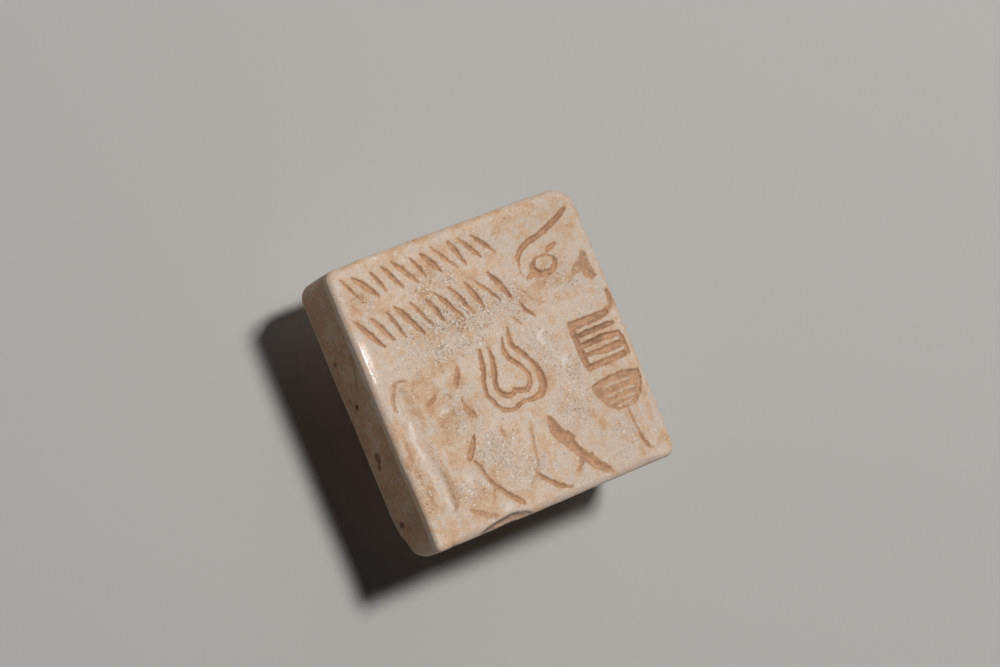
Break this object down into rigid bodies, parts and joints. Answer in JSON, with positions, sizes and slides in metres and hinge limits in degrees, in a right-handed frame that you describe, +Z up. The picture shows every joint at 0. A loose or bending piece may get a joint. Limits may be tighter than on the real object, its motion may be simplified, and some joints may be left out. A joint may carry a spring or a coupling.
{
  "type": "square stamp seal with a pierced boss",
  "caption": "Square carved stamp seal of pale stone: a plate with an intaglio bull at a stand, and a low pierced boss on its back that it lies on.",
  "frame": {"origin": "on the ground under the middle of the plate, where the flat spot of the boss rests", "axes": "+Z up, out of the carved face; +X to the right and +Y to the top of the carving as it is read on the seal"},
  "size_m": [0.03, 0.03, 0.0135],
  "materials": {
    "stone": "pale cream-grey fine-grained stone, smoothly worn with a low satin gloss, orange-brown soil stain in the cuts and fine dark pits"
  },
  "bodies": {
    "root": {"stamp_seal": "stone"}
  },
  "joints": []
}
